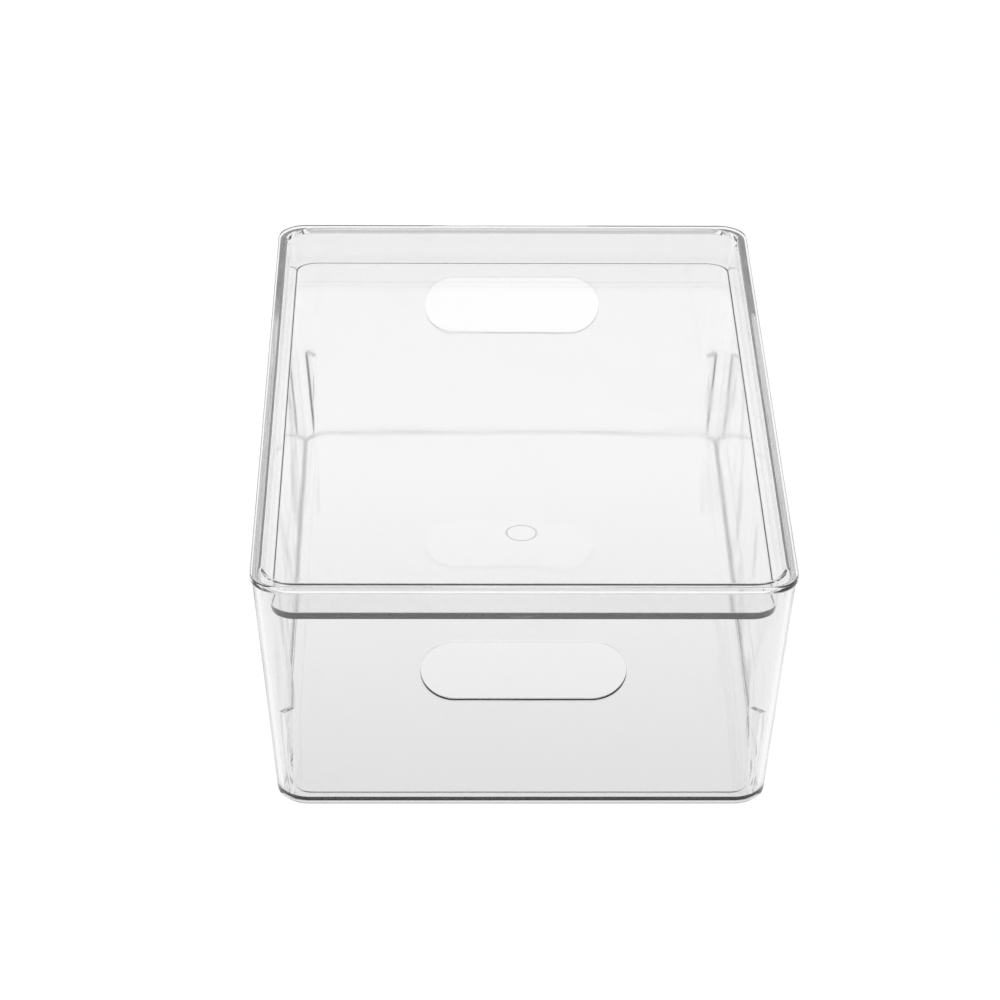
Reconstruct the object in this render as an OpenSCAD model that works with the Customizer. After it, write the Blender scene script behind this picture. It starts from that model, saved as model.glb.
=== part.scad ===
// Clear stacking fridge bin with a lift-off lid: two injection mouldings.
// Origin at the middle of the underside of the bin. X runs across the bin,
// Y runs along it and Z points up. All sizes are in millimetres.

/* [Overall] */
// Width over the lid's flange
rim_w = 200; // [160:1:260]
// Length over the lid's flange
rim_l = 300; // [220:1:400]
// Height with the lid on
total_h = 100; // [80:1:140]
// Corner radius of the lid's flange, seen from above
rim_corner_r = 11.5; // [8:0.5:16]

/* [Bin] */
// How far the lid's flange stands out past the bin, on each side
flange_overhang = 0.8; // [0.4:0.1:1.2]
// How far each side leans in between the rim and the base
draft_inset = 7.1; // [6.5:0.1:10]
// Thickness of the side and end walls
wall_t = 2.3; // [2:0.1:2.8]
// Thickness of the floor
floor_t = 1.6; // [1.2:0.1:2.4]
// Corner radius of the base, seen from above
base_corner_r = 13; // [10:0.5:18]
// Radius round the outside of the bottom edge
base_edge_r = 0.5; // [0.3:0.1:1]
// Radius between the floor and the walls, inside
floor_fillet_r = 1.2; // [0.8:0.1:2.4]
// Width of the foot, the rim round the underside that the bin stands on
foot_w = 2.4; // [2:0.1:4]
// How far the floor is raised behind the foot
foot_h = 0.8; // [0.8:0.1:1.6]
// Distance from the base's edge to the shallow step down to the middle of the floor
floor_step_in = 6; // [5.5:0.1:8]
// Height of that step
floor_step_h = 0.5; // [0.2:0.1:0.6]

/* [Handle slots] */
// Length of each handle slot, across the bin
slot_w = 75.5; // [60:0.5:100]
// Height of each handle slot
slot_h = 25.7; // [20:0.1:30]
// Height of the slots' centre line above the base
slot_z = 61.9; // [55:0.1:63]

/* [Corner ribs] */
// Thickness of the rib across each corner
rib_t = 2.2; // [1.5:0.1:3]
// Height of the ribs' flat tops above the base
rib_top_z = 41.3; // [30:0.1:50]
// How far a rib's free edge stands in from the side of the rim
rib_in_x = 14.7; // [13.5:0.1:18]
// How far a rib's free edge stands in from the end of the rim
rib_in_y = 12.6; // [12:0.1:18]

/* [Lid] */
// Thickness of the lid's flange
flange_t = 2.5; // [2:0.1:3]
// Width of the flange, from its edge to the wall of the recess
flange_w = 5.8; // [5.5:0.1:7]
// Radius where the top of the flange turns down into the recess
flange_roll_r = 3; // [1:0.1:3.2]
// Depth of the recess that the base of another bin stands in
recess_depth = 14.2; // [10:0.1:16]
// Thickness of the lid's panel
panel_t = 2.8; // [2:0.1:3]
// Gap between the lid's plug and the inside of the bin's rim
plug_gap = 0.4; // [0.35:0.05:0.8]
// How far the plug's outside leans in, from the flange to the panel
plug_lean = 3.5; // [2.5:0.1:4]
// How far the wall of the recess leans in, from the flange to the panel
recess_lean = 1.8; // [1:0.1:2]

/* [Gate marks] */
// Diameter of the ring left by the moulding gate
gate_d = 12; // [8:1:16]
// Width of the ring's shallow groove
gate_groove_w = 0.6; // [0.4:0.1:1]
// Depth of the ring's groove
gate_groove_depth = 0.1; // [0.1:0.05:0.2]
// Distance of the lid's gate mark from the front edge of the flange
lid_gate_from_front = 65; // [40:1:150]

/* [Hidden] */

clear = [0.93, 0.95, 0.96, 0.35];
corner_steps = 10;
fillet_steps = 3;
gate_fn = 48;
slot_fn = 64;
eps = 0.01;

bin_h = total_h - flange_t;
rim_bin_r = rim_corner_r - flange_overhang;
rib_len = 16;
floor_top_z = foot_h + floor_t;
rib_foot_z = foot_h - floor_step_h + floor_t * 0.75;
foot_slope = 0.7;
floor_slope = 1;

panel_top_z = total_h - recess_depth;
panel_bottom_z = panel_top_z - panel_t;
plug_top_inset = flange_overhang + wall_t + plug_gap;
plug_bottom_inset = plug_top_inset + plug_lean;
plug_edge_r = 0.3;
recess_top_inset = flange_w;
recess_floor_inset = recess_top_inset + recess_lean;
recess_fillet_r = 0.75;
flange_edge_r = 0.5;
// The plug and the recess turn their corners more gently than the flange
inner_corner_r = rim_corner_r + 5;

// How far the bin's outside stands in from the rim, at height z
function wall_inset(z) = flange_overhang + draft_inset * (bin_h - z) / bin_h;
base_inset = wall_inset(0);
step_inset = base_inset + floor_step_in;
// One level of a shell: its inset from the rim, its height, its corner radius
function level(inset, z, r) = [inset, z, r];

// A rounded rectangle's points, inset from the lid's flange, anticlockwise
function outline(inset, r) =
    let (hx = rim_w / 2 - inset, hy = rim_l / 2 - inset)
    [for (q = [0 : 3], i = [0 : corner_steps])
        let (a = 90 * (q + i / corner_steps),
             cx = (q == 0 || q == 3) ? hx - r : r - hx,
             cy = (q < 2) ? hy - r : r - hy)
        [cx + r * cos(a), cy + r * sin(a)]];

// A closed solid through the levels, from the lowest to the highest
module shell(levels) {
    n = 4 * (corner_steps + 1);
    top = n * (len(levels) - 1);
    points = [for (l = levels, p = outline(l[0], l[2])) [p[0], p[1], l[1]]];
    sides = [for (k = [0 : len(levels) - 2], i = [0 : n - 1])
        let (a = k * n + i, b = k * n + (i + 1) % n)
        each [[a, a + n, b + n], [a, b + n, b]]];
    floor_face = [[for (i = [0 : n - 1]) i]];
    roof_face = [[for (i = [n - 1 : -1 : 0]) top + i]];
    polyhedron(points = points, faces = concat(floor_face, sides, roof_face));
}

// Levels round a convex bottom edge of radius r, which stands on z0
function bottom_edge(z0, inset, r, corner_r) =
    [for (i = [0 : fillet_steps])
        let (a = 90 * i / fillet_steps)
        level(inset + r * (1 - sin(a)), z0 + r * (1 - cos(a)), corner_r - r * (1 - sin(a)))];

// A level whose corners keep the same centres as the base's
function floor_level(inset, z) = level(inset, z, base_corner_r + base_inset - inset);

module bin_outside() {
    shell(concat(
        bottom_edge(0, wall_inset(base_edge_r), base_edge_r, base_corner_r),
        [level(wall_inset(bin_h), bin_h, rim_bin_r)]
    ));
}

module bin_inside() {
    z1 = floor_top_z + floor_fillet_r;
    over = bin_h + 1;
    shell(concat(
        [
            floor_level(step_inset + floor_slope, floor_top_z - floor_step_h),
            floor_level(step_inset, floor_top_z)
        ],
        bottom_edge(floor_top_z, wall_inset(z1) + wall_t, floor_fillet_r, base_corner_r - wall_t),
        [level(wall_inset(over) + wall_t, over, rim_bin_r - wall_t)]
    ));
}

// The hollow under the floor, which leaves the foot standing round it
module foot_hollow() {
    difference() {
        shell([
            floor_level(base_inset + foot_w - foot_slope, -foot_h),
            floor_level(base_inset + foot_w, 0),
            floor_level(base_inset + foot_w + foot_slope, foot_h)
        ]);
        shell([
            floor_level(step_inset + floor_slope, foot_h - floor_step_h),
            floor_level(step_inset, foot_h + eps)
        ]);
    }
}

// A round-ended slot through both end walls
module handle_slots() {
    reach = (slot_w - slot_h) / 2;
    translate([0, rim_l / 2 + 1, slot_z])
        rotate([90, 0, 0])
            linear_extrude(rim_l + 2) {
                square([2 * reach, slot_h], center = true);
                for (side = [-1, 1])
                    translate([side * reach, 0]) circle(d = slot_h, $fn = slot_fn);
            }
}

// The four upright ribs, which stop one empty bin from jamming in another
module corner_ribs() {
    intersection() {
        for (sx = [-1, 1], sy = [-1, 1])
            translate([sx * (rim_w / 2 - rib_in_x), sy * (rim_l / 2 - rib_in_y), rib_foot_z])
                rotate(atan2(sy, sx))
                    translate([0, -rib_t / 2, 0])
                        cube([rib_len, rib_t, rib_top_z - rib_foot_z]);
        bin_core();
    }
}

// Keeps the ribs' outer ends inside the middle of the wall
module bin_core() {
    shell([
        level(wall_inset(0) + wall_t / 2, 0, base_corner_r - wall_t / 2),
        level(wall_inset(bin_h) + wall_t / 2, bin_h, rim_bin_r - wall_t / 2)
    ]);
}

// The ring groove that a moulding gate leaves, cut upwards from z = 0
module gate_ring() {
    translate([0, 0, -eps])
        difference() {
            cylinder(d = gate_d, h = gate_groove_depth + eps, $fn = gate_fn);
            translate([0, 0, -eps])
                cylinder(d = gate_d - 2 * gate_groove_w, h = gate_groove_depth + 3 * eps,
                         $fn = gate_fn);
        }
}

module bin() {
    color(clear)
        difference() {
            union() {
                difference() {
                    bin_outside();
                    bin_inside();
                }
                corner_ribs();
            }
            handle_slots();
            foot_hollow();
            translate([0, 0, foot_h - floor_step_h]) gate_ring();
        }
}

// The flange, the plug that drops inside the bin's rim and the panel, undivided
module lid_outside() {
    shell(concat(
        bottom_edge(panel_bottom_z, plug_bottom_inset, plug_edge_r,
                    inner_corner_r - plug_bottom_inset),
        [
            level(plug_top_inset, bin_h, inner_corner_r - plug_top_inset),
            level(flange_edge_r, bin_h, rim_corner_r - flange_edge_r),
            level(0, bin_h + flange_edge_r, rim_corner_r),
            level(0, total_h - flange_edge_r, rim_corner_r),
            level(flange_edge_r, total_h, rim_corner_r - flange_edge_r)
        ]
    ));
}

// The recess in the lid, with the rolled edge round its mouth
module lid_recess() {
    roll_z = total_h - flange_roll_r;
    roll = [for (i = [0 : fillet_steps])
        let (a = 90 * i / fillet_steps, inset = recess_top_inset - flange_roll_r * (1 - cos(a)))
        level(inset, roll_z + flange_roll_r * sin(a), inner_corner_r - inset)];
    shell(concat(
        bottom_edge(panel_top_z, recess_floor_inset, recess_fillet_r,
                    inner_corner_r - recess_floor_inset),
        roll,
        [level(recess_top_inset - flange_roll_r, total_h + 1,
               inner_corner_r - recess_top_inset + flange_roll_r)]
    ));
}

module lid() {
    color(clear)
        difference() {
            lid_outside();
            lid_recess();
            translate([0, lid_gate_from_front - rim_l / 2, panel_bottom_z]) gate_ring();
        }
}

bin();
lid();
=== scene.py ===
"""A clear plastic fridge bin with its lid on, on a glowing white floor with painted shade under the
bin.
"""
import math

import bmesh
import bpy
from mathutils import Matrix, Vector


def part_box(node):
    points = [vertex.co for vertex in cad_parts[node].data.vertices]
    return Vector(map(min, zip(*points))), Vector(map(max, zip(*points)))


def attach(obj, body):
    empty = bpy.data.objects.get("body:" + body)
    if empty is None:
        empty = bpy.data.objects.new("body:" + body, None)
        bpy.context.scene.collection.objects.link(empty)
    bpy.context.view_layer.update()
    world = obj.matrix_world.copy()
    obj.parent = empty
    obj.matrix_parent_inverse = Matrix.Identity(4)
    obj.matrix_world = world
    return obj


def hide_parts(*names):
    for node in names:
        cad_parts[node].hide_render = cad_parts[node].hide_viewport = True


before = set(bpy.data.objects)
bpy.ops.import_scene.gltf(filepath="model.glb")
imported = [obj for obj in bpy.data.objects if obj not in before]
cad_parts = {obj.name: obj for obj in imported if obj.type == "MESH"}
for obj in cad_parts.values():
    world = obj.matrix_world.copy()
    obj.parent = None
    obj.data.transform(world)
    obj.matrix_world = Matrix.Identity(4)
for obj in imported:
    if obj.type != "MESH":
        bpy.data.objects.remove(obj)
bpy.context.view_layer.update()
bin_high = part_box("bin")[1]
lid_low, lid_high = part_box("lid")

# ---------------------------------------------------------------- sizes, in metres
MM = 0.001
RIM_X, RIM_Y, TOP_Z = lid_high                  # half width, half length, flange top
PANEL_LOW_Z = lid_low[2]                        # underside of the panel
BIN_TOP_Z = bin_high[2]
OVERHANG = RIM_X - bin_high[0]
SEAT_GAP = 0.22 * MM                            # air between the rim and the flange

DRAFT_INSET = 7.1 * MM                          # how far the walls lean in, rim to base
WALL = 2.3 * MM
FLOOR = 2.4 * MM                                # height of the floor's top beside the walls
RIM_CORNER = 11.5 * MM
BASE_CORNER = 13 * MM
BASE_EDGE = 0.5 * MM
FLOOR_FILLET = 1.2 * MM
FOOT_W, FOOT_H, FOOT_SLOPE = 2.4 * MM, 0.8 * MM, 0.7 * MM
STEP_IN, STEP_W, STEP_H = 6.0 * MM, 1.0 * MM, 0.5 * MM   # the step in the floor
LIP_EDGE = 0.45 * MM

SLOT_W, SLOT_H, SLOT_Z = 75.5 * MM, 25.7 * MM, 61.9 * MM
SLOT_ROOM = 6 * MM                              # flat wall kept round a slot

RIB, RIB_TOP_Z = 2.2 * MM, 41.3 * MM
RIB_IN_X, RIB_IN_Y = 14.7 * MM, 12.6 * MM
RIB_EDGE = 0.3 * MM
RIB_ROOT = 0.35 * MM                            # how deep the ribs reach into the floor

PANEL = 2.8 * MM
PANEL_TOP_Z = PANEL_LOW_Z + PANEL
FLANGE_W, FLANGE_EDGE, ROLL = 5.8 * MM, 0.5 * MM, 3 * MM
PLUG_GAP, PLUG_LEAN = 0.4 * MM, 3.5 * MM
PLUG_EDGE, PLUG_ROOT = 0.3 * MM, 0.3 * MM
RECESS_LEAN, RECESS_FILLET = 1.8 * MM, 0.75 * MM
PLUG_CORNER = 16.5 * MM

GATE, GATE_GROOVE, GATE_DEPTH = 12 * MM, 0.6 * MM, 0.1 * MM
LID_GATE_Y = 65 * MM - RIM_Y

STAGE_HALF, STAGE_DROP = 8, 0.3 * MM            # the white floor's half width, and its depth
PAINTED_SHADOW_FRONT, PAINTED_LIGHT_BEHIND = 0.785, 1.04         # painted shadow under the bin's front, and painted brighter light behind it
PAINTED_SHADE_END_Y, PAINTED_SHADOW_EDGE = 110 * MM, 6 * MM      # where the painted shadow gives way to the painted light behind, and the painted shadow's soft edge
FLOOR_NEAR, PAINTED_FALLOFF_FAR = 1.02, 0.66              # its glow near the bin, and far off where the painted fall-off has dimmed it
PAINTED_FALLOFF_START, PAINTED_FALLOFF_END = 0.65, 1.8                # distances that the floor's painted fall-off of light runs between
SIDES, BEHIND, OVERHEAD = 0.5, 1.06, 0.6        # the studio's light round the bin
BEHIND_FROM, BEHIND_TO = 0.1, 0.7               # directions' Y that it brightens between
OVERHEAD_FROM, OVERHEAD_TO = 0.55, 0.9          # directions' Z that it dims between

TINT, ABSORB, IOR = 0.94, 7.7, 1.57             # what the plastic lets through and bends
HAZE_SCALE, HAZE_FROM, HAZE_TO = 22, 0.45, 0.75  # patches of haze: the noise they follow

WAVE_SCALE, WAVE_H = 40, 0.12 * MM              # waves in the moulded faces

CORNER_STEPS = 16                               # round each corner seen from above
ROUND_STEPS = 8                                 # round each small radius
SLOT_STEPS = 32                                 # round each end of a slot
GATE_STEPS, GATE_POINTS = 4, 64                 # across a gate groove and round it


# ---------------------------------------------------------------- outlines and levels
def wall_inset(z):
    """How far the bin's outside stands in from the lid's flange at height z."""
    return OVERHANG + DRAFT_INSET * (BIN_TOP_Z - z) / BIN_TOP_Z


def outline(inset, radius, z, columns=()):
    """A rounded rectangle's points, anticlockwise, with extra columns on both ends."""
    hx, hy = RIM_X - inset, RIM_Y - inset
    points = []
    for quarter in range(4):
        cx = hx - radius if quarter in (0, 3) else radius - hx
        cy = hy - radius if quarter < 2 else radius - hy
        for step in range(CORNER_STEPS + 1):
            a = math.pi / 2 * (quarter + step / CORNER_STEPS)
            points.append((cx + radius * math.cos(a), cy + radius * math.sin(a), z))
        if quarter == 0:
            points += [(x, hy, z) for x in sorted(columns, reverse=True)]
        if quarter == 2:
            points += [(x, -hy, z) for x in sorted(columns)]
    return points


def arc(centre_inset, centre_z, radius, start, end, corner, steps=ROUND_STEPS):
    """Levels round an edge: start and end are angles, 0 outwards and 90 upwards. corner is
    the radius of the outline that would stand at inset 0."""
    levels = []
    for step in range(steps + 1):
        a = math.radians(start + (end - start) * step / steps)
        inset = centre_inset - radius * math.cos(a)
        levels.append((inset, corner(inset), centre_z + radius * math.sin(a)))
    return levels


# ---------------------------------------------------------------- mesh helpers
def new_object(name, bm):
    mesh = bpy.data.meshes.new(name)
    bmesh.ops.recalc_face_normals(bm, faces=bm.faces)
    bm.to_mesh(mesh)
    bm.free()
    obj = bpy.data.objects.new(name, mesh)
    bpy.context.scene.collection.objects.link(obj)
    return obj


def loft(bm, levels, columns=()):
    """Rings through the levels (inset, radius, z), joined in order. Returns the rings."""
    rings = []
    for inset, radius, z in levels:
        rings.append([bm.verts.new(p) for p in outline(inset, radius, z, columns)])
    for low, high in zip(rings, rings[1:]):
        for i in range(len(low)):
            j = (i + 1) % len(low)
            bm.faces.new((low[i], low[j], high[j], high[i]))
    return rings


def edges_of(bm, ring):
    """The edges round a closed ring of vertices, made where they are missing."""
    edges = []
    for a, b in zip(ring, ring[1:] + ring[:1]):
        edges.append(bm.edges.get((a, b)) or bm.edges.new((a, b)))
    return edges


def fill_between(bm, ring, hole):
    """Flat faces between a ring and the hole inside it."""
    bmesh.ops.triangle_fill(bm, use_beauty=True, edges=edges_of(bm, ring) + edges_of(bm, hole))


def join_rings(bm, a, b):
    for i in range(len(a)):
        j = (i + 1) % len(a)
        bm.faces.new((a[i], a[j], b[j], b[i]))


def gate_mark(bm, ring, centre_y, z, into):
    """A flat cap on ring with the shallow round groove of a moulding gate in it."""
    circles = []
    for step in range(GATE_STEPS + 1):
        a = math.pi * step / GATE_STEPS
        radius = GATE / 2 - GATE_GROOVE / 2 * (1 - math.cos(a))
        depth = GATE_DEPTH * math.sin(a)
        circles.append([
            bm.verts.new((radius * math.cos(t), centre_y + radius * math.sin(t), z + into * depth))
            for t in (2 * math.pi * k / GATE_POINTS for k in range(GATE_POINTS))
        ])
    fill_between(bm, ring, circles[0])
    for a, b in zip(circles, circles[1:]):
        join_rings(bm, a, b)
    bm.faces.new(circles[-1])


def smooth(obj):
    """Smooth shading that keeps flats flat and leaves true corners sharp."""
    mesh = obj.data
    mesh.polygons.foreach_set("use_smooth", [True] * len(mesh.polygons))
    bm = bmesh.new()
    bm.from_mesh(mesh)
    for edge in bm.edges:
        edge.smooth = not (edge.is_manifold and edge.calc_face_angle() > math.radians(32))
    bm.to_mesh(mesh)
    bm.free()
    weighted = obj.modifiers.new("even_normals", "WEIGHTED_NORMAL")
    weighted.keep_sharp = True
    weighted.weight = 100


# ---------------------------------------------------------------- the bin
def bin_levels():
    """Up the outside of the bin, over the lip and down the inside to the floor."""
    def outer_corner(z):
        return BASE_CORNER + (RIM_CORNER - OVERHANG - BASE_CORNER) * z / BIN_TOP_Z

    lean = math.degrees(math.atan(DRAFT_INSET / BIN_TOP_Z))
    top = BIN_TOP_Z - SEAT_GAP
    slot_low = SLOT_Z - SLOT_H / 2 - SLOT_ROOM
    slot_high = SLOT_Z + SLOT_H / 2 + SLOT_ROOM

    def at(z, depth=0.0):
        return (wall_inset(z) + depth, outer_corner(z) - depth, z)

    def below(inset, z):
        return (inset, BASE_CORNER + wall_inset(0) - inset, z)

    foot = wall_inset(0) + FOOT_W
    step = wall_inset(0) + STEP_IN
    levels = [below(step + 2 * STEP_W, FOOT_H - STEP_H), below(step + STEP_W, FOOT_H - STEP_H),
              below(step, FOOT_H), below(foot + FOOT_SLOPE, FOOT_H), below(foot, 0)]
    base_in = wall_inset(BASE_EDGE) + BASE_EDGE
    base_corner = outer_corner(BASE_EDGE) + wall_inset(BASE_EDGE)
    levels += arc(base_in, BASE_EDGE, BASE_EDGE, -90, -lean, lambda i: base_corner - i, 4)
    outer_rows = (len(levels), len(levels) + 1)
    levels += [at(slot_low), at(slot_high)]

    lip_in = wall_inset(top) + LIP_EDGE
    lip_corner = outer_corner(top) + wall_inset(top)
    levels += arc(lip_in, top - LIP_EDGE, LIP_EDGE, -lean, 90, lambda i: lip_corner - i, 4)
    lip_out = wall_inset(top) + WALL - LIP_EDGE
    levels += arc(lip_out, top - LIP_EDGE, LIP_EDGE, 90, 180 - lean, lambda i: lip_corner - i, 4)

    inner_rows = (len(levels), len(levels) + 1)
    levels += [at(slot_high, WALL), at(slot_low, WALL)]
    turn_z = FLOOR + FLOOR_FILLET
    turn_in = wall_inset(turn_z) + WALL + FLOOR_FILLET
    turn_corner = outer_corner(turn_z) + wall_inset(turn_z)
    levels += arc(turn_in, turn_z, FLOOR_FILLET, -lean, -90, lambda i: turn_corner - i)
    levels += [below(step, FLOOR), below(step + STEP_W, FLOOR - STEP_H)]
    return levels, outer_rows, inner_rows


def stadium(half_w, half_h):
    """A round-ended slot's outline about its centre, anticlockwise, as (x, height)."""
    reach = half_w - half_h
    points = []
    for side, start in ((1, -90), (-1, 90)):
        for step in range(SLOT_STEPS + 1):
            a = math.radians(start + 180 * step / SLOT_STEPS)
            points.append((side * reach + half_h * math.cos(a), half_h * math.sin(a)))
    return points


def cut_slot(bm, rings, outer_rows, inner_rows, side):
    """A handle slot with fully rounded edges through the end wall at y = side * RIM_Y."""
    per_quarter = CORNER_STEPS + 1
    # A ring's points: quarter, 2 columns of the far end, 2 quarters, 2 columns of the near end
    first = per_quarter if side > 0 else 3 * per_quarter + 2

    def patch(rows):
        """The flat face between two levels and two columns, and its four corners."""
        low, high = rings[min(rows)], rings[max(rows)]
        corners = [low[first], low[first + 1], high[first + 1], high[first]]
        face = next(f for f in bm.faces if set(f.verts) == set(corners))
        bmesh.ops.delete(bm, geom=[face], context="FACES_ONLY")
        return corners

    slope = math.atan(DRAFT_INSET / BIN_TOP_Z)
    up = Vector((0, side * math.sin(slope), math.cos(slope)))
    out = Vector((0, side * math.cos(slope), -math.sin(slope)))
    mid_y = side * (RIM_Y - wall_inset(SLOT_Z) - WALL / 2)
    centre = Vector((0, mid_y, SLOT_Z))
    half_t = WALL / 2 * math.cos(slope)
    loops = []
    for step in range(2 * ROUND_STEPS + 1):
        a = math.radians(90 - 180 * step / (2 * ROUND_STEPS))
        grow = half_t * (1 - math.cos(a))
        shape = stadium(SLOT_W / 2 + grow, SLOT_H / 2 + grow)
        loops.append([
            bm.verts.new(centre + Vector((x, 0, 0)) + up * h + out * half_t * math.sin(a))
            for x, h in shape
        ])
    outer, inner = patch(outer_rows), patch(inner_rows)
    fill_between(bm, outer, loops[0])
    fill_between(bm, inner, loops[-1])
    for a, b in zip(loops, loops[1:]):
        join_rings(bm, a, b)


def rib(sx, sy):
    """One upright corner rib, from inside the floor to its flat top, ready to be merged."""
    def wall_end(z):
        """Distance along the rib from its free edge to the middle of the corner's wall."""
        radius = BASE_CORNER + (RIM_CORNER - OVERHANG - BASE_CORNER) * z / BIN_TOP_Z
        inset = wall_inset(z) + radius
        run = Vector((inset - RIB_IN_X, inset - RIB_IN_Y))
        along = Vector((-1, -1)) / math.sqrt(2)
        beside = abs(run.x * along.y - run.y * along.x)
        return run.dot(along) + math.sqrt((radius - WALL / 2) ** 2 - beside ** 2)

    bm = bmesh.new()
    low_z = FLOOR - STEP_H - RIB_ROOT
    rows = []
    for z in (low_z, RIB_TOP_Z):
        reach = wall_end(z)
        rows.append([bm.verts.new((x, y, z)) for x, y in (
            (0, -RIB / 2), (reach, -RIB / 2), (reach, RIB / 2), (0, RIB / 2))])
    join_rings(bm, rows[0], rows[1])
    bm.faces.new(rows[0])
    bm.faces.new(rows[1])
    bmesh.ops.recalc_face_normals(bm, faces=bm.faces)
    rounded = [e for e in bm.edges
               if all(v.co.x == 0 for v in e.verts) or all(v.co.z == RIB_TOP_Z for v in e.verts)]
    bmesh.ops.bevel(bm, geom=rounded, offset=RIB_EDGE, segments=3, profile=0.5, affect="EDGES")
    turn = Matrix.Rotation(math.atan2(sy, sx), 4, "Z")
    place = Matrix.Translation((sx * (RIM_X - RIB_IN_X), sy * (RIM_Y - RIB_IN_Y), 0))
    bmesh.ops.transform(bm, matrix=place @ turn, verts=bm.verts)
    return new_object(f"rib_{sx}_{sy}", bm)


def merge(obj, others):
    """Joins other closed meshes into obj as one closed mesh, and removes them."""
    for other in others:
        union = obj.modifiers.new("merge", "BOOLEAN")
        union.operation = "UNION"
        union.solver = "EXACT"
        union.object = other
        depsgraph = bpy.context.evaluated_depsgraph_get()
        merged = bpy.data.meshes.new_from_object(obj.evaluated_get(depsgraph))
        obj.modifiers.remove(union)
        obj.data = merged
        bpy.data.objects.remove(other)


def build_bin():
    bm = bmesh.new()
    levels, outer_rows, inner_rows = bin_levels()
    column = SLOT_W / 2 + SLOT_ROOM
    rings = loft(bm, levels, (-column, column))
    cut_slot(bm, rings, outer_rows, inner_rows, -1)
    cut_slot(bm, rings, outer_rows, inner_rows, 1)
    gate_mark(bm, rings[0], 0, FOOT_H - STEP_H, 1)
    bm.faces.new(rings[-1])
    obj = new_object("clear_bin", bm)
    merge(obj, [rib(sx, sy) for sx in (-1, 1) for sy in (-1, 1)])
    smooth(obj)
    return obj


# ---------------------------------------------------------------- the lid
def lid_levels():
    """Up the outside of the plug, round the flange and down into the recess."""
    def inner_corner(inset):
        return PLUG_CORNER - inset

    def flange_corner(inset):
        return RIM_CORNER - inset

    plug_top = OVERHANG + WALL + PLUG_GAP
    plug_bottom = plug_top + PLUG_LEAN
    lean = math.degrees(math.atan(PLUG_LEAN / (BIN_TOP_Z - PANEL_LOW_Z - PLUG_EDGE)))
    levels = arc(plug_bottom + PLUG_EDGE, PANEL_LOW_Z + PLUG_EDGE, PLUG_EDGE, -90, -lean,
                 inner_corner)
    root_in = plug_top - PLUG_ROOT
    levels += arc(root_in, BIN_TOP_Z - PLUG_ROOT, -PLUG_ROOT, -lean, -90, inner_corner, 4)

    levels += arc(FLANGE_EDGE, BIN_TOP_Z + FLANGE_EDGE, FLANGE_EDGE, -90, 0, flange_corner, 5)
    levels += arc(FLANGE_EDGE, TOP_Z - FLANGE_EDGE, FLANGE_EDGE, 0, 90, flange_corner, 5)

    drop = TOP_Z - ROLL - PANEL_TOP_Z - RECESS_FILLET
    wall_lean = math.degrees(math.atan(RECESS_LEAN / drop))
    levels += arc(FLANGE_W - ROLL, TOP_Z - ROLL, ROLL, 90, 180 - wall_lean, inner_corner)
    floor_in = FLANGE_W + RECESS_LEAN
    levels += arc(floor_in + RECESS_FILLET, PANEL_TOP_Z + RECESS_FILLET, RECESS_FILLET,
                  -wall_lean, -90, inner_corner)
    return levels


def build_lid():
    bm = bmesh.new()
    rings = loft(bm, lid_levels())
    gate_mark(bm, rings[0], LID_GATE_Y, PANEL_LOW_Z, 1)
    bm.faces.new(rings[-1])
    obj = new_object("clear_lid", bm)
    smooth(obj)
    return obj


# ---------------------------------------------------------------- materials
def blend(tree, value, start, end, low, high, kind="SMOOTHSTEP"):
    """A change from low to high as value goes from start to end."""
    step = tree.nodes.new("ShaderNodeMapRange")
    step.interpolation_type = kind
    for name, number in (("From Min", start), ("From Max", end), ("To Min", low), ("To Max", high)):
        step.inputs[name].default_value = number
    tree.links.new(value, step.inputs["Value"])
    return step.outputs[0]


def clear_plastic(name, seed, clearest, haziest):
    """Colourless moulded plastic: faint waves, and roughness that goes from clearest to
    haziest in patches where it has been handled. seed sets where they fall."""
    mat = bpy.data.materials.new(name)
    mat.use_nodes = True
    nodes, links = mat.node_tree.nodes, mat.node_tree.links
    shader = nodes["Principled BSDF"]
    shader.inputs["Base Color"].default_value = (TINT, TINT, TINT, 1)
    shader.inputs["IOR"].default_value = IOR
    shader.inputs["Transmission Weight"].default_value = 1.0

    place = nodes.new("ShaderNodeTexCoord")

    def noise(scale, shift, detail):
        node = nodes.new("ShaderNodeTexNoise")
        node.noise_dimensions = "4D"
        node.inputs["W"].default_value = seed + shift
        node.inputs["Scale"].default_value = scale
        node.inputs["Detail"].default_value = detail
        links.new(place.outputs["Object"], node.inputs["Vector"])
        return node.outputs["Fac"]

    waves = nodes.new("ShaderNodeBump")
    waves.inputs["Distance"].default_value = WAVE_H
    links.new(noise(WAVE_SCALE, 0, 0), waves.inputs["Height"])
    links.new(waves.outputs["Normal"], shader.inputs["Normal"])
    haze = blend(mat.node_tree, noise(HAZE_SCALE, 40, 3), HAZE_FROM, HAZE_TO, clearest,
                 haziest)
    links.new(haze, shader.inputs["Roughness"])

    absorb = nodes.new("ShaderNodeVolumeAbsorption")
    absorb.inputs["Color"].default_value = (0.5, 0.5, 0.5, 1)
    absorb.inputs["Density"].default_value = ABSORB
    links.new(absorb.outputs["Volume"], nodes["Material Output"].inputs["Volume"])
    return mat


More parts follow.
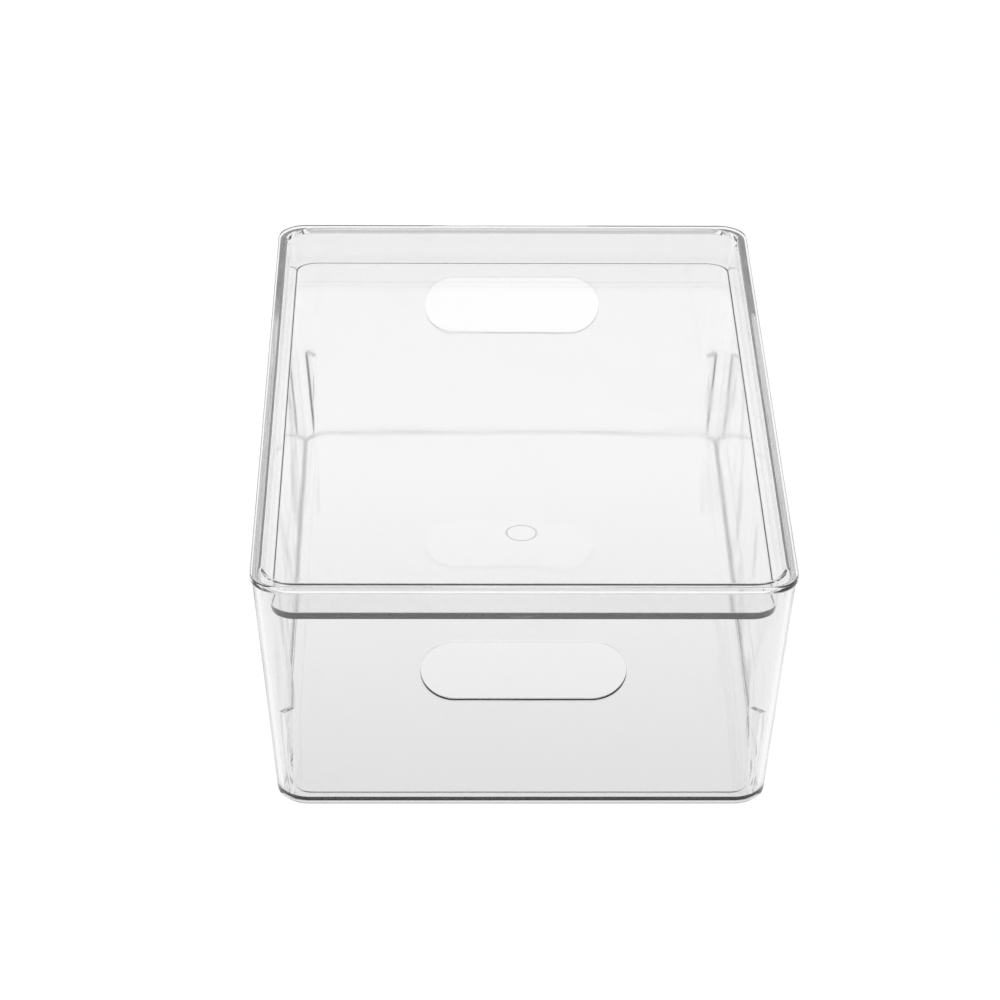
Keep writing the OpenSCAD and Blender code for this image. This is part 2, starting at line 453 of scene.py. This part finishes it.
# ---------------------------------------------------------------- stage
def floor():
    """A glowing white floor with painted shade: a painted shadow under the bin, darkest at its
    front, painted brighter light behind the bin, and a painted fall-off of its light far away.
    """
    bm = bmesh.new()
    bmesh.ops.create_grid(bm, x_segments=1, y_segments=1, size=STAGE_HALF)
    obj = new_object("floor", bm)
    obj.location.z = -STAGE_DROP
    mat = bpy.data.materials.new("white_floor")
    mat.use_nodes = True
    nodes, links = mat.node_tree.nodes, mat.node_tree.links

    def combine(operation, first, second=None):
        node = nodes.new("ShaderNodeMath")
        node.operation = operation
        links.new(first, node.inputs[0])
        if second is not None:
            links.new(second, node.inputs[1])
        return node.outputs[0]

    place = nodes.new("ShaderNodeTexCoord")
    split = nodes.new("ShaderNodeSeparateXYZ")
    links.new(place.outputs["Object"], split.inputs[0])
    reach = nodes.new("ShaderNodeVectorMath")
    reach.operation = "LENGTH"
    links.new(place.outputs["Object"], reach.inputs[0])

    base_x, base_y = RIM_X - wall_inset(0), RIM_Y - wall_inset(0)
    past = nodes.new("ShaderNodeCombineXYZ")
    for axis, half in (("X", base_x), ("Y", base_y)):
        size = combine("ABSOLUTE", split.outputs[axis])
        links.new(blend(mat.node_tree, size, half - BASE_CORNER, half, 0, BASE_CORNER, "LINEAR"),
                  past.inputs[axis])
    corner = nodes.new("ShaderNodeVectorMath")
    corner.operation = "LENGTH"
    links.new(past.outputs[0], corner.inputs[0])
    # Painted shadow: inside the bin's footprint, with a soft edge, the floor's glow drops to the
    # painted shade ramp.
    outside = blend(mat.node_tree, corner.outputs["Value"], BASE_CORNER - PAINTED_SHADOW_EDGE, BASE_CORNER,
                    0, 1)
    # Painted shade ramp: darkest under the bin's front, rising to painted brighter light behind the
    # bin.
    shade = blend(mat.node_tree, split.outputs["Y"], -base_y, PAINTED_SHADE_END_Y, PAINTED_SHADOW_FRONT,
                  PAINTED_LIGHT_BEHIND, "LINEAR")
    # Painted fall-off: the floor's light dims far from the bin.
    painted_falloff = blend(mat.node_tree, reach.outputs["Value"], PAINTED_FALLOFF_START, PAINTED_FALLOFF_END, FLOOR_NEAR,
                 PAINTED_FALLOFF_FAR)
    glow = nodes.new("ShaderNodeEmission")
    # The floor's glow: the painted shadow under the bin, times the painted fall-off.
    links.new(combine("MULTIPLY", combine("MAXIMUM", outside, shade), painted_falloff), glow.inputs["Strength"])
    links.new(glow.outputs[0], nodes["Material Output"].inputs["Surface"])
    obj.data.materials.append(mat)


def studio():
    """Soft light all round: white behind the bin, dimmer at the sides and overhead."""
    world = bpy.data.worlds.new("studio")
    world.use_nodes = True
    nodes, links = world.node_tree.nodes, world.node_tree.links
    direction = nodes.new("ShaderNodeTexCoord")
    split = nodes.new("ShaderNodeSeparateXYZ")
    links.new(direction.outputs["Generated"], split.inputs[0])
    behind = blend(world.node_tree, split.outputs["Y"], BEHIND_FROM, BEHIND_TO, SIDES, BEHIND)
    below = blend(world.node_tree, split.outputs["Z"], OVERHEAD_FROM, OVERHEAD_TO, 1, 0)
    mix = nodes.new("ShaderNodeMix")
    mix.inputs["A"].default_value = OVERHEAD
    links.new(below, mix.inputs["Factor"])
    links.new(behind, mix.inputs["B"])
    links.new(mix.outputs["Result"], nodes["Background"].inputs["Strength"])
    nodes["Background"].inputs["Color"].default_value = (1, 1, 1, 1)
    bpy.context.scene.world = world


def camera():
    data = bpy.data.cameras.new("camera")
    data.sensor_width = 36
    data.lens = 136.38
    data.clip_start, data.clip_end = 0.05, 40
    cam = bpy.data.objects.new("camera", data)
    pitch, yaw, roll = 30.007, 0.988, 0.550
    cam.matrix_world = (
        Matrix.Translation((-29.50 * MM, -1318.96 * MM, 811.94 * MM))
        @ Matrix.Rotation(math.radians(-yaw), 4, "Z")
        @ Matrix.Rotation(math.radians(90 - pitch), 4, "X")
        @ Matrix.Rotation(math.radians(roll), 4, "Z")
    )
    bpy.context.scene.collection.objects.link(cam)
    bpy.context.scene.camera = cam


# ---------------------------------------------------------------- the scene
camera()
floor()
studio()

clear_bin = build_bin()
clear_bin.data.materials.clear()
clear_bin.data.materials.append(clear_plastic("bin_plastic", 3, 0.0, 0.08))
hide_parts("bin")
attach(clear_bin, "bin")

clear_lid = build_lid()
clear_lid.data.materials.append(clear_plastic("lid_plastic", 7, 0.03, 0.1))
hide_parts("lid")
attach(clear_lid, "lid")

scene = bpy.context.scene
scene.view_settings.view_transform = "Standard"
scene.cycles.max_bounces = 48
scene.cycles.transmission_bounces = 48
scene.cycles.glossy_bounces = 16
scene.cycles.sample_clamp_indirect = 0
